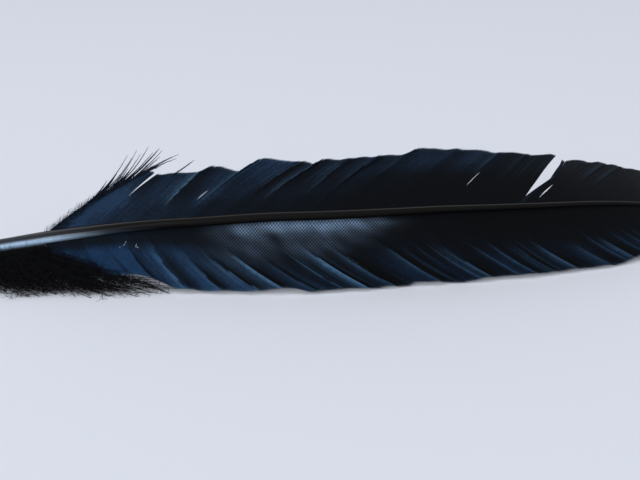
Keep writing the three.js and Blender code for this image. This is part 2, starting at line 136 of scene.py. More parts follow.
farVane = {
    "name": "far_vane",
    "side": 1,
    "lean": [
        (-110, 50, 36), (-50, 44, 32), (0, 44, 34), (60, 42, 31), (95, 38, 27), (112, 31, 21),
        (150, 27, 16), (178, 16, 6),
    ],
    "barbs": [
        (-108, 38, 8), (-100, 44, 11), (-90, 50, 15), (-60, 50, 14), (-30, 50, 13), (14, 50, 13),
        (36, 51, 12), (66, 52, 12), (84, 50, 11), (108, 46, 10), (120, 43, 10), (132, 40, 10),
        (144, 35, 10), (154, 27, 9), (162, 18, 7), (168, -2, 2),
    ],
    "lengths": [
        (-108, 29), (-102, 32), (-96, 36), (-91, 35.5), (-87, 33.9), (-86.8, 33), (-85, 33),
        (-82, 33.2), (-76, 32.3), (-70.5, 31.4), (-67.5, 35.4), (-65.5, 35.6), (-64, 35),
        (-60, 33), (-57, 31.2), (-54.4, 29.8), (-52.3, 29.1), (-51.7, 34), (-50.9, 38),
        (-50, 38.7), (-48, 38.4), (-46, 37.8), (-42, 36.3), (-40, 35.6), (-37, 34.8), (-34, 34.3),
        (-32.5, 34.6), (-31.3, 34.9), (-30, 34.4), (-28, 33.3), (-26, 32.1), (-25.2, 31.8),
        (-24.7, 34.4), (-24, 36.2), (-23, 36.5), (-21, 35.9), (-18, 34.9), (-16.6, 34.8),
        (-15, 35.3), (-13, 35.5), (-11, 36.6), (-9, 37.1), (-7, 36.5), (-5, 36), (-3.5, 36),
        (-1.5, 37.4), (0, 37.8), (3, 37.4), (6, 37.2), (7.5, 38), (10.5, 42.8), (14, 42.8),
        (22.5, 41.1), (26, 41.7), (35, 41), (41, 39.8), (46.5, 37.4), (50, 39), (56, 38.5),
        (62, 37.2), (68, 37.7), (74, 39), (78, 37.9), (78.2, 35.1), (79.2, 35.1), (80, 36.8),
        (81.5, 38.8), (83.5, 39.7), (85.5, 39.4), (88.5, 38), (90, 38), (92, 39.1), (94.5, 38.4),
        (96, 37.5), (98.7, 38.8), (101, 38.2), (104, 36.5), (106, 36.5), (109, 37.3), (113, 37.3),
        (120, 35.3), (132, 30), (144, 25.5), (154, 21), (162, 17), (168, 13),
    ],
    "crests": [
        (-108, 0.3, 0, 0.3, 0), (-87, 0.7, 0.1, 0.3, 0), (-68, 1, 0.95, 0.35, 0.55),
        (-52.2, 1.2, 0.3, 0.35, 0.75), (-33, 0.7, 0.08, 0.5, 0.3), (-25.2, 1.1, 0.24, 0.34, 0.9),
        (-13, 0.8, 0.15, 0.42, 0.7), (-2.5, 0.8, 0.12, 0.48, 0.6), (8.5, 1.1, 0.1, 0.6, 0.7),
        (27, 0.5, 0.03, 0.6, 0.2), (47.5, 0.9, 0.15, 0.6, 0.3), (62, 0.6, 0.05, 0.6, 0.3),
        (78, 0.8, 0.05, 0.6, 0.3), (96, 0.8, 0.03, 0.6, 0.3), (104, 0.6, 0.03, 0.6, 0.3),
        (116, 0.5, 0.03, 0.6, 0.3), (130, 0.5, 0.03, 0.6, 0.3), (146, 0.5, 0.03, 0.6, 0.3),
        (168, 0.3, 0, 0.6, 0.3),
    ],
    "bloom": [
        (-108, 0.28, 0.5, 0.1), (-103, 0.65, 0.93, 0.22), (-96, 0.82, 1.2, 0.4),
        (-88, 0.65, 1.05, 0.55), (-86, 0.52, 0.55, 0.4), (-78, 0.4, 0.5, 0.56),
        (-68, 0.3, 0.4, 0.6), (-60, 0.2, 0.22, 0.33), (-52.5, 0.2, 0.6, 0.54),
        (-44, 0.14, 0.26, 0.56), (-34, 0.09, 0.19, 0.46), (-30, 0.08, 0.14, 0.28),
        (-15, 0.06, 0.11, 0.28), (0, 0.05, 0.08, 0.28), (12, 0.04, 0.05, 0.36),
        (30, 0.03, 0.04, 0.36), (46, 0.02, 0.03, 0.3), (52, 0.02, 0.03, 0.15),
        (77.9, 0.02, 0.02, 0.12), (78.4, 0.25, 0.35, 0.4), (81, 0.02, 0.03, 0.08),
        (168, 0.02, 0.02, 0.05),
    ],
    "bloomShare": (0.17, 0.4),
    "rimHighlight": 0.5,
    "fine": (0.24, 0.1),
    "lipLean": [(-87, 8), (-60, 8), (-50, -2), (-25, -5), (-13, 2), (-2, -3), (20, 0)],
    "sink": [(-108, 0), (168, 0)],
    "paintedSheen": [(-170, 0), (0, 0), (170, 0)],
    "sheenShare": [(0, 0), (1, 0)],
    "sheenLean": 0,
    "slits": [
        (-87, [(0.48, 0), (1, -2.9)], [(0.48, 0), (1, -1.5)], (9, 7)),
        (-55, [(0.32, 0), (0.46, -0.3), (0.64, 0)], [(0.32, 0), (0.46, 0.3), (0.64, 0)], (2, 2)),
        (48.8, [(0.28, 0), (0.38, -0.36), (0.54, -0.36), (0.66, 0)],
         [(0.28, 0), (0.38, 0.36), (0.54, 0.36), (0.66, 0)], (2, 2)),
        (78, [(0.16, 0), (0.45, -1.3), (0.68, -2.9), (1, -5.3)],
         [(0.16, 0), (0.5, 4.1), (0.84, 1.4), (1, -1)], (12, 7)),
        (84.4, [(0.1, 0), (0.24, -0.5), (0.38, 0)], [(0.1, 0), (0.24, 0.5), (0.38, 0)], (3, 3)),
    ],
}

# How the blue, the painted highlights and the painted shade lie on both vanes.  lip, glow: the
# widths of the narrow and wide bell curves of a lip's painted highlight, with lipPart of it in the
# narrow one.  trough: how far the painted shade behind a crest reaches at most, and troughShare the
# shares of the lock between which it lightens.  before, after: how gently a lip's painted highlight
# comes in along a barb.  Each pace is in radians for a millimetre along the shaft and for a whole
# barb.  The other pairs are shares of a barb.
shadeForm = {
    "middle": (0.45, 0.85), "bloomPace": (0.35, 3), "bloomVaries": 0.22,
    "lipPivot": 0.7, "lipPace": (0.2, 5), "lipVaries": 0.3,
    "startPace": (0.9, 0.5), "startVaries": 0.06, "before": 0.12, "after": 0.2,
    "troughShade": 13, "troughShare": (0.15, 0.9),
    "lipHighlight": 1.2, "lipPart": 0.72, "glow": 3.8, "edgeFade": (0.92, 1), "edgeLoss": 0.5,
    "brightPace": (1.5, 2), "brightVaries": 0.35, "rimHighlight": (0.92, 0.99), "lipCovers": 0.3,
    "finePace": (1.7, 1.5), "fineWaves": 14, "fineShare": (0.36, 0.7), "fineFrom": 0.6,
    "fineRange": (0.2, 2), "fineInTrough": 0.8,
    "sheenFrom": 0.15, "sheenPace": (0.3, 15), "sheenVaries": 0.1, "most": 1.2,
}

# section: the corners round a barb as shares of its half width, its ridge and its depth.  uneven,
# ragged: how far barbs end too long or short by chance, in groups and one by one.  lift: how far
# they rise or sink.  point: the last share of a barb, over which it narrows to its tip.
barbForm = {
    "spacing": 0.72, "overlap": 1.22, "stations": 26, "stationPower": 0.9,
    "ridge": 0.07, "depth": 0.2, "widths": (0.1, 0.8),
    "group": 5, "uneven": 0.12, "ragged": 0.07, "lift": 0.02, "sinkShare": (0.15, 0.02),
    "point": 0.035, "pointPower": 0.6, "tipWidth": 0.08, "tipThick": 0.3,
    "section": [(-1, 0.3, 0), (-0.2, 1, 0), (1, -0.7, 0), (0.3, 0, -1), (-0.5, 0, -1)],
}


# A smooth curve through a table: between two rows a cubic whose slope at each row is the harmonic
# mean of the straight slopes beside it, or level where those point opposite ways.
def along(rows, x, column=1):
    table = np.asarray(rows, float)
    at, value = table[:, 0], table[:, column]
    step = np.diff(at)
    straight = np.diff(value) / step
    turns = straight[1:] * straight[:-1]
    slope = np.concatenate([straight[:1], np.where(turns > 0, 2 * turns, 0), straight[-1:]])
    slope[1:-1] /= np.where(turns > 0, straight[1:] + straight[:-1], 1)
    k = np.clip(np.searchsorted(at, x, side="right") - 1, 0, len(at) - 2)
    u = np.clip((x - at[k]) / step[k], 0, 1)
    return (value[k] * (1 + 2 * u) * (1 - u) ** 2 + value[k + 1] * u * u * (3 - 2 * u)
            + step[k] * slope[k] * u * (1 - u) ** 2 - step[k] * slope[k + 1] * u * u * (1 - u))


# Straight lines through a table, level beyond its ends.
def straightLine(points, x):
    table = np.asarray(points, float)
    return np.interp(x, table[:, 0], table[:, 1])


# Where a barb's root acts from at a share of its length: its own station plus the push of each
# slit, which dies away with the distance along the shaft.
def settledRoot(vane, root, share):
    settled = root + 0 * share
    for station, before, after, reach in vane["slits"]:
        isAfter = root > station
        away = np.abs(root - station)
        settled = settled + np.where(
            isAfter,
            straightLine(after, share) * np.exp(-away / reach[1]),
            straightLine(before, share) * np.exp(-away / reach[0]),
        )
    return settled


# How far the blade stands proud: a power curve up to each crest, then a short step down, both
# growing towards the free edge.
def rippleHeight(vane, root, share):
    crests = np.asarray(vane["crests"], float)
    k = np.clip(np.searchsorted(crests[:, 0], root, side="right"), 1, len(crests) - 1)
    start, before = crests[k - 1, 0], crests[k - 1, 1]
    end, height = crests[k, 0], crests[k, 1]
    rise = np.clip((root - start) / (end - start), 0, 1) ** rippleForm["rise"]
    fall = 1 - np.clip((root - start) / rippleForm["drop"], 0, 1)
    proud = height * (rise - rippleForm["base"]) + before * fall
    return proud * np.clip(share, 0, None) ** rippleForm["growth"]


# The step across the blade at a station: an arc that turns from the root lean to the edge lean,
# out by width and up along its normal by height.
def acrossBlade(vane, x, width, height):
    root = np.radians(along(vane["lean"], x, 1))
    edge = np.radians(along(vane["lean"], x, 2))
    turn = (edge - root) / blade["turnWidth"]
    lean = root + turn * width
    y = vane["side"] * (np.sin(lean) - np.sin(root)) / turn - np.sin(lean) * height
    z = vane["side"] * (np.cos(root) - np.cos(lean)) / turn + np.cos(lean) * height
    return y, z


# A point on a barb: an arc in the blade that leaves the shaft at an angle and turns forward.
def vanePoint(vane, root, share, height=0.0, extra=0.0):
    length = along(vane["lengths"], root) + extra
    leave = np.radians(along(vane["barbs"], root, 1))
    turn = np.radians(along(vane["barbs"], root, 2))
    scale = length / turn
    x = settledRoot(vane, root, share) + scale * (np.sin(leave) - np.sin(leave - turn * share))
    width = scale * (np.cos(leave - turn * share) - np.cos(leave))
    y, z = acrossBlade(vane, x, width, height + rippleHeight(vane, root, share))
    return np.stack([x, along(blade["line"], x, 1) + y, along(blade["line"], x, 2) + z], -1)


# Each vector divided by its length.
def unit(vectors):
    return vectors / np.maximum(np.linalg.norm(vectors, axis=-1, keepdims=True), 1e-9)


# A face set's volume by fans from each face's first corner, positive when faces point outwards.
def signedVolume(points, faces):
    first, volume = points[faces[:, 0]], 0.0
    for k in range(1, faces.shape[1] - 1):
        volume += np.sum(first * np.cross(points[faces[:, k]], points[faces[:, k + 1]]))
    return volume / 6


# A mesh from points in blade millimetres and sets of faces, with its values at each vertex.
def makeMesh(name, points, faceSets, values=(), smooth=True):
    points = (points.reshape(-1, 3) + np.array(blade["setDown"])) * mm
    faceSets = [faces.reshape(-1, faces.shape[-1]) for faces in faceSets]
    if sum(signedVolume(points, faces) for faces in faceSets) < 0:
        faceSets = [faces[:, ::-1] for faces in faceSets]
    sizes = np.concatenate([np.full(len(faces), faces.shape[1]) for faces in faceSets])
    corners = np.concatenate([faces.ravel() for faces in faceSets]).astype(np.int32)
    mesh = bpy.data.meshes.new(name)
    mesh.vertices.add(len(points))
    mesh.vertices.foreach_set("co", points.astype(np.float32).ravel())
    mesh.loops.add(len(corners))
    mesh.loops.foreach_set("vertex_index", corners)
    mesh.polygons.add(len(sizes))
    mesh.polygons.foreach_set("loop_start", (np.cumsum(sizes) - sizes).astype(np.int32))
    mesh.update(calc_edges=True)
    mesh.polygons.foreach_set("use_smooth", np.full(len(sizes), smooth))
    for label, amounts in dict(values).items():
        layer = mesh.attributes.new(label, "FLOAT", "POINT")
        layer.data.foreach_set("value", np.asarray(amounts, np.float32).ravel())
    piece = bpy.data.objects.new(name, mesh)
    bpy.context.scene.collection.objects.link(piece)
    print(f"{name}: {int(np.sum(sizes - 2))} triangles")
    return piece


# Faces of many closed strands at once.  A strand is a run of rings that each close on themselves:
# quads join neighbouring rings, and one face closes each end.
def strandFaces(strands, rings, sides):
    strand, ring, side = np.meshgrid(
        np.arange(strands), np.arange(rings - 1), np.arange(sides), indexing="ij")
    corner = (strand * rings + ring) * sides
    a, b = corner + side, corner + (side + 1) % sides
    walls = np.stack([a, b, b + sides, a + sides], -1)
    start = (np.arange(strands) * rings * sides)[:, None] + np.arange(sides)
    return [walls, start[:, ::-1], start + (rings - 1) * sides]


# Round tapered strands: about each point of a path, a ring of the radius there.
def makeStrands(paths, radius, sides, up=(0, 0, 1)):
    ahead = unit(np.gradient(paths, axis=1))
    across = unit(np.cross(np.asarray(up, float), ahead) + 1e-6)
    over = np.cross(ahead, across)
    angle = (2 * np.pi * np.arange(sides) / sides)[:, None]
    ring = across[:, :, None] * np.cos(angle) + over[:, :, None] * np.sin(angle)
    return paths[:, :, None] + ring * radius[:, :, None, None]


# A curve of two legs from start to end, drawn towards the bend: the weights are the squares of
# the shares.
def bentPath(start, bend, end, rings):
    u = np.linspace(0, 1, rings)[None, :, None]
    return (1 - u) ** 2 * start[:, None] + 2 * u * (1 - u) * bend[:, None] + u ** 2 * end[:, None]


# keep: how near to a strand's ends a hair may stand.  shrink: how much shorter hairs are at a
# strand's tip.  leave and bend: how far a hair's bend lies ahead and to the side, and how far out.
hairForm = {
    "scatter": 0.4, "keep": (0.02, 0.98), "shortest": 0.5, "base": 1.1, "shrink": 0.45,
    "side": 0.8, "leave": (0.35, 0.65), "bend": 0.8, "taper": (1, 0.8, 0.2), "floor": 0.25,
}


# Short hairs that stand on strands: each leaves a point of its strand ahead and to one side, and
# narrows to its tip.
def makeHairs(paths, each, length, radius, forward=0.75, curl=0.12):
    strands, rings = paths.shape[:2]
    total = strands * each
    strand = np.repeat(np.arange(strands), each)
    scatter = hairForm["scatter"]
    place = np.tile((np.arange(each) + 0.5) / each, strands)
    place = place + dice.uniform(-scatter, scatter, total) / each
    place = np.clip(place, *hairForm["keep"]) * (rings - 1)
    k = np.minimum(place.astype(int), rings - 2)
    mix = (place - k)[:, None]
    start = paths[strand, k] * (1 - mix) + paths[strand, k + 1] * mix
    ahead = unit(paths[strand, k + 1] - paths[strand, k])
    side = dice.normal(0, 1, (total, 3))
    side = unit(side - ahead * np.sum(side * ahead, -1, keepdims=True))
    shortest = hairForm["shortest"]
    long = length * (shortest + (1 - shortest) * dice.uniform(0, 1, (total, 1)))
    long = long * (hairForm["base"] - hairForm["shrink"] * place[:, None] / rings)
    aim = ahead * forward + side * hairForm["side"] + dice.normal(0, curl, (total, 3))
    end = start + aim * long
    onward, sideways = hairForm["leave"]
    bend = start + (ahead * onward + side * sideways) * long * hairForm["bend"]
    path = bentPath(start, bend, end, 3)
    path[..., 2] = np.maximum(path[..., 2], hairForm["floor"])
    thick = np.broadcast_to(radius * np.array(hairForm["taper"]), path.shape[:2])
    return makeStrands(path, thick, 3, up=(0.3, 0.2, 1)), strandFaces(total, 3, 3)


# One set of points and faces from several: each part's faces count on from the points before.
def joined(parts):
    points, faces, base = [], [], 0
    for cloud, sets in parts:
        faces += [one.reshape(-1, one.shape[-1]) + base for one in sets]
        points.append(cloud.reshape(-1, 3))
        base += len(points[-1])
    return np.concatenate(points), faces


# From 0 at low to 1 at high, easing in and out.
def ease(value, low, high):
    u = np.clip((value - low) / (high - low), 0, 1)
    return u * u * (3 - 2 * u)


# A wandering value about 0: the mean of sine waves that cross in two directions, each with a pace
# and a start drawn by chance.
def wander(first, second, pace, count=9, source=dice):
    turns = source.normal(0, 1, (3, count)) * np.array([[pace[0]], [pace[1]], [6]])
    waves = np.sin(first[..., None] * turns[0] + second[..., None] * turns[1] + turns[2])
    return waves.mean(-1) * np.sqrt(count)


# How blue the blade is, how brightly the painted highlights on its lips shine and how pale its
# painted sheen is.  Each lock falls dark with painted shade behind the crest before it and
# brightens with a painted highlight towards its own lip, by two bell curves of the distance to it,
# with fine streaks along the barbs between, which vary the blue at random and whose brightest peaks
# are painted highlights.
def vaneShades(vane, root, share):
    form = shadeForm
    inner, middle, outer = (along(vane["bloom"], root, column) for column in (1, 2, 3))
    bloom = inner + (middle - inner) * ease(share, *vane["bloomShare"])
    bloom = bloom + (outer - middle) * ease(share, *form["middle"])
    bloom = bloom * (1 + form["bloomVaries"] * wander(root, share, form["bloomPace"]))

    # Each lock: painted shade in the trough behind the crest before it, and a painted highlight on
    # its own lip.
    crests = np.asarray(vane["crests"], float)
    lean = straightLine(vane["lipLean"], root)
    leaned = root + lean * (share - form["lipPivot"])
    leaned = leaned + form["lipVaries"] * wander(root, share, form["lipPace"])
    k = np.clip(np.searchsorted(crests[:, 0], leaned, side="right"), 1, len(crests) - 1)
    bright, shows, dark = crests[k, 2], crests[k, 3], crests[k, 4]
    start, lock = crests[k - 1, 0], crests[k, 0] - crests[k - 1, 0]
    started = share + form["startVaries"] * wander(root, share, form["startPace"])
    shown = ease(started, shows - form["before"], shows + form["after"])
    darkest, clear = form["troughShare"]
    troughShade = 1 - ease(leaned - start, darkest * lock, np.minimum(clear * lock, form["troughShade"]))
    ahead = start + lock - leaned
    lipHighlight = form["lipPart"] * np.exp(-(ahead / form["lipHighlight"]) ** 2)
    lipHighlight = lipHighlight + (1 - form["lipPart"]) * np.exp(-(ahead / form["glow"]) ** 2)
    lipHighlight = lipHighlight * shown * bright * (1 - form["edgeLoss"] * ease(share, *form["edgeFade"]))
    lipHighlight = lipHighlight * (1 + form["brightVaries"] * wander(root, share, form["brightPace"]))
    # A painted highlight along the free edge.
    lipHighlight = lipHighlight + vane["rimHighlight"] * outer * ease(share, *form["rimHighlight"])

    fine = wander(leaned, share, form["finePace"], form["fineWaves"], shadeDice)
    fineBloom, fineLip = vane["fine"]
    outward = ease(share, *form["fineShare"])
    bloom = bloom * np.clip(1 + fineBloom * fine * outward, *form["fineRange"])
    # The brightest fine streaks are added as painted highlight.
    peaks = np.clip(fine - form["fineFrom"], 0, form["most"])
    lipHighlight = lipHighlight + fineLip * peaks * outward * (1 - dark * troughShade * form["fineInTrough"])
    # Painted shade darkens the blue in each trough.
    bloom = bloom * (1 - dark * troughShade * shown)
    bloom = bloom * (1 - form["lipCovers"] * np.clip(lipHighlight, 0, 1))

    # The painted sheen beside the shaft: a pale painted highlight that leans back with the share.
    sheenRoot = root + vane["sheenLean"] * np.clip(share - form["sheenFrom"], 0, 1)
    paintedSheen = along(vane["paintedSheen"], sheenRoot, 1) * straightLine(vane["sheenShare"], share)
    paintedSheen = paintedSheen * (1 + (form["sheenVaries"] + share) * wander(root, share, form["sheenPace"]))
    return {
        "bloom": np.clip(bloom, 0, form["most"]),
        "lipHighlight": np.clip(lipHighlight, 0, form["most"]),
        "paintedSheen": np.clip(paintedSheen, 0, 1),
    }


# Each barb is a closed sliver with a ridge along its top.  Its sides reach a little over and
# under its neighbours' sides, and its tip narrows to a point.
def makeVane(vane):
    first, last = vane["crests"][0][0], vane["crests"][-1][0]
    count = int((last - first) / barbForm["spacing"])
    root = np.linspace(first, last, count)[:, None]
    share = np.linspace(0, 1, barbForm["stations"])[None] ** barbForm["stationPower"]
    knots = np.linspace(first, last, count // barbForm["group"])
    extra = np.interp(root, knots, dice.normal(0, barbForm["uneven"], len(knots)))
    extra = extra + dice.normal(0, barbForm["ragged"], root.shape)
    lift = dice.normal(0, barbForm["lift"], root.shape) * share
    lift = lift - straightLine(vane["sink"], root) * ease(share, *barbForm["sinkShare"])
    centre = vanePoint(vane, root, share, lift, extra)
    reach = 0.02
    beside = (vanePoint(vane, root + reach, share, lift, extra)
              - vanePoint(vane, root - reach, share, lift, extra)) / (2 * reach)
    ahead = unit(np.gradient(centre, axis=1))
    across = beside - ahead * np.sum(beside * ahead, -1, keepdims=True)
    width = np.linalg.norm(across, axis=-1, keepdims=True) * (last - first) / (count - 1)
    across = unit(across)
    normal = np.cross(across, ahead)
    normal = unit(normal) * np.sign(normal[..., 2:3])
    taper = np.clip((1 - share) / barbForm["point"], 0, 1)[..., None] ** barbForm["pointPower"]
    tipWidth, tipThick = barbForm["tipWidth"], barbForm["tipThick"]
    half = np.clip(width, *barbForm["widths"]) * 0.5 * barbForm["overlap"]
    half = half * (tipWidth + (1 - tipWidth) * taper)
    thick = tipThick + (1 - tipThick) * taper
    section = barbForm["section"]
    points = np.stack([
        centre + across * half * wide
        + normal * thick * (barbForm["ridge"] * up + barbForm["depth"] * down)
        for wide, up, down in section
    ], 2)
    shape = centre.shape[:2]
    values = {
        "share": np.broadcast_to(share, shape),
        "tone": np.broadcast_to(dice.uniform(0, 1, root.shape), shape),
    }
    values.update(vaneShades(vane, root + 0 * share, share + 0 * root))
    values = {name: np.repeat(amount[..., None], len(section), -1)
              for name, amount in values.items()}
    faces = strandFaces(count, share.shape[1], len(section))
    return makeMesh(vane["name"], points, faces, values, smooth=False)


near = makeVane(nearVane)
far = makeVane(farVane)

# size: x, half width, half height and how far the shaft stands towards the near vane.  drop: how
# far its middle lies below the line, as a share of the half height.  groove: its depth, width and
# the stations between which it opens.  flat: how much lower the back is between the vanes.  edge
# and back: where the pale line, a painted highlight, and the clear back, pale horn with a painted
# highlight on it, lie round the shaft, in degrees, and how wide they are in radians, above and
# below the back's middle.  under: the side darkened with painted shade, in degrees.
shaftForm = {
    "size": [
        (-165, 0.9, 0.9, 0.3), (-163.5, 1.7, 1.7, 0.3), (-158, 2.3, 2.3, 0.3),
        (-145, 2.8, 2.8, 0.4), (-127, 2.85, 2.85, 0.4), (-101, 2.85, 2.8, 0.3),
        (-89, 2.65, 2.6, 0.5), (-77, 2.2, 2.3, 0.5), (-65, 1.95, 2.1, 0.6), (-42, 1.95, 2.1, 1.2),
        (4, 1.83, 1.95, 1.2), (27, 1.6, 1.8, 1), (50, 1.4, 1.6, 0.4), (87, 1.2, 1.4, -0.1),
        (114, 1.03, 1.2, -0.7), (129, 0.95, 1.1, -0.8), (150, 0.75, 0.85, -0.3),
        (172, 0.35, 0.4, 0),
    ],
    "drop": 0.4,
    "rings": 320,
    "sides": 36,
    "groove": 0.4,
    "grooveWidth": 0.34,
    "grooveFrom": (-112, -80),
    "flat": 0.12,
    "edge": 62,
    "edgeWidth": [(-165, 0.12), (0, 0.13), (80, 0.2), (172, 0.25)],
    "back": [
        (-165, 117), (-122, 119), (-112, 126), (-104, 130), (-92, 134), (-80, 150), (-66, 164),
        (172, 164),
    ],
    "backWidth": (0.26, 0.5),
    "underShade": (95, 150),
}


# The shaft: an oval carried along the middle line and turned with the blade's lean.  Underneath,
# a bell-shaped groove opens where the vanes begin, and the back is a little flattened.
def makeShaft():
    size = shaftForm["size"]
    x = np.linspace(size[0][0], size[-1][0], shaftForm["rings"])[:, None]
    angle = 2 * np.pi * np.arange(shaftForm["sides"])[None] / shaftForm["sides"]
    halfWidth, halfHeight = along(size, x, 1), along(size, x, 2)
    lean = np.radians((along(nearVane["lean"], x) + along(farVane["lean"], x)) / 2)
    start, full = shaftForm["grooveFrom"]
    bladed = np.clip((x - start) / (full - start), 0, 1)
    rise = np.sin(angle) * (1 - shaftForm["flat"] * bladed * np.clip(np.sin(angle), 0, 1))
    bell = np.exp(-(np.cos(angle) / shaftForm["grooveWidth"]) ** 2) * (np.sin(angle) < 0)
    groove = shaftForm["groove"] * bladed * bell
    across = halfWidth * np.cos(angle) - along(size, x, 3)
    up = halfHeight * (rise + groove - shaftForm["drop"])
    points = np.stack([
        x + 0 * angle,
        along(blade["line"], x, 1) + across * np.cos(lean) - up * np.sin(lean),
        along(blade["line"], x, 2) + across * np.sin(lean) + up * np.cos(lean),
    ], -1)
    values = {"station": x + 0 * angle}
    # Where the painted highlights of the pale line and the quill's back, and the painted shade
    # underneath, lie round the shaft.
    turned = np.angle(np.exp(1j * (angle - np.radians(shaftForm["edge"]))))
    values["edge"] = np.exp(-(turned / straightLine(shaftForm["edgeWidth"], x)) ** 2)
    turned = np.angle(np.exp(1j * (angle - np.radians(along(shaftForm["back"], x)))))
    values["back"] = np.exp(-(turned / np.where(turned < 0, *shaftForm["backWidth"])) ** 2)
    values["underShade"] = ease(np.degrees(angle), *shaftForm["underShade"]) + 0 * x
    faces = strandFaces(1, len(x), shaftForm["sides"])
    return makeMesh("shaft", points, faces, values)


shaft = makeShaft()

# The tuft of down, as a fan of barbs from the rearmost to the foremost.  fan: place in the fan,
# root station, then x, y, z of the bend and of the tip.  roots: the side of the shaft that they
# stand on, in degrees, how far out in it and how low.  crowd: a power below 1 crowds the fan's
# front.  shorter: the power and the reach of the chance shortening.  sink: its power, and how far
# a bend and a share of a tip go down with it.  Spreads and sway are in millimetres, those of the
# bend and the tip along x, y and z.
downForm = {
    "fan": [
        (0, -131, -139, -52, 8, -133, -61, 1.2), (0.25, -127, -122.5, -55, 9, -107, -62.6, 1.2),
        (0.5, -122, -105.5, -54, 11, -87, -62, 1.2), (0.75, -116, -94, -53, 10, -68, -61, 1.1),
        (0.9, -111, -87.5, -52, 8.5, -55, -59.5, 1.1), (1, -107, -84, -51, 8, -42.5, -58, 1.1),
    ],
    "barbs": 450, "rings": 9, "radius": 0.22, "taper": 0.6, "floor": 0.5,
    "crowd": 0.98, "roots": (225, 290), "rootDepth": 0.9, "rootDrop": 1.2, "rootSpread": 1.5,
    "shorter": (1.15, 0.64), "bendShorter": 0.6, "sink": (1.5, 8, 0.85),
    "bendSpread": (2.7, 1.2, 1.2), "tipSpread": (3.84, 1.44, 0.64),
    "sway": (2, 1.1, 1.1), "swayTurns": (0.8, 3), "swayPower": 1.2,
    "hairs": {"each": 27, "length": 3.2, "radius": 0.08, "forward": 0.3, "curl": 0.7},
}


# Every barb is shortened by chance towards its bend, sways, sags to the surface and carries fine
# hairs all along.
def makeDown():
    form, count = downForm, downForm["barbs"]
    fan = np.sort(dice.uniform(0, 1, count)) ** form["crowd"]
    x = along(form["fan"], fan, 1) + dice.normal(0, form["rootSpread"], count)
    turn = np.radians(dice.uniform(*form["roots"], count))
    radius = along(shaftForm["size"], x) * form["rootDepth"]
    root = np.stack([
        x,
        along(blade["line"], x, 1) + radius * np.cos(turn),
        along(blade["line"], x, 2) + radius * np.sin(turn) - form["rootDrop"],
    ], -1)
    bend, tip = (np.stack([along(form["fan"], fan, column + axis) for axis in range(3)], -1)
                 for column in (2, 5))
    power, reach = form["shorter"]
    shorter = dice.uniform(0, 1, (count, 1)) ** power * reach
    power, bendSink, tipSink = form["sink"]
    sink = dice.uniform(0, 1, count) ** power
    bend = bend + (root - bend) * shorter * form["bendShorter"]
    bend = bend + dice.normal(0, 1, (count, 3)) * form["bendSpread"]
    bend[:, 2] -= sink * bendSink
    tip = tip + (root - tip) * shorter + dice.normal(0, 1, (count, 3)) * form["tipSpread"]
    tip[:, 2] = tip[:, 2] * (1 - sink * tipSink)
    path = bentPath(root, bend, tip, form["rings"])
    u = np.linspace(0, 1, form["rings"])[None]
    for axis, sway in enumerate(form["sway"]):
        turns = dice.uniform(*form["swayTurns"], (count, 1))
        wave = np.sin(2 * np.pi * (u * turns + dice.uniform(0, 1, (count, 1))))
        path[..., axis] += wave * u ** form["swayPower"] * sway
    path[..., 2] = np.maximum(path[..., 2], form["floor"])
    thick = form["radius"] * (1 - form["taper"] * u) + np.zeros((count, 1))
    barbs = makeStrands(path, thick, 3), strandFaces(count, form["rings"], 3)
    points, faces = joined([barbs, makeHairs(path[:, 1:], **form["hairs"])])
    return makeMesh("down", points, faces)


down = makeDown()

# barbs: root station, the share of a barb where it comes loose, and its tip's x, y, z.  fillers:
# how many shorter barbs stand between them, and reach: the shares of the way that those go.  lead:
# the last share of a barb before it comes loose, which gives its direction.
looseForm = {
    "barbs": [
        (-108, 0.72, -76.6, -18.5, 42.6), (-107, 0.78, -74.9, -18.5, 41.5),
        (-106, 0.8, -72.8, -18.5, 44.6), (-104.5, 0.85, -71.5, -18, 43),
        (-103, 0.85, -68.1, -18, 46), (-102, 0.85, -66.5, -18, 43.6),
        (-101, 0.85, -64.6, -18, 44.6), (-100, 0.85, -63.7, -18, 45.3),
        (-98.5, 0.88, -62.8, -18, 44.4), (-97, 0.88, -63.8, -18, 41.9),
        (-95.5, 0.88, -59, -18, 41.8), (-94.5, 0.88, -56.2, -18, 42.9),
        (-92.5, 0.9, -57.2, -18, 41.1), (-79.5, 0.93, -50.1, -18, 40.5),
    ],
    "rings": 16, "sides": 5, "radius": 0.24, "taper": 0.7, "lead": 0.15, "bend": 0.45,
    "height": 0.2, "fillers": 34, "reach": (0.2, 0.65),
    "barbules": {"each": 56, "length": 1, "radius": 0.055},
    "fringeRoots": (-110, -101, 30), "fringeShares": (0.05, 1.02, 16), "fringeHeight": 0.1,
    "fringe": {"each": 30, "length": 2.6, "radius": 0.055, "forward": 1.0},
}


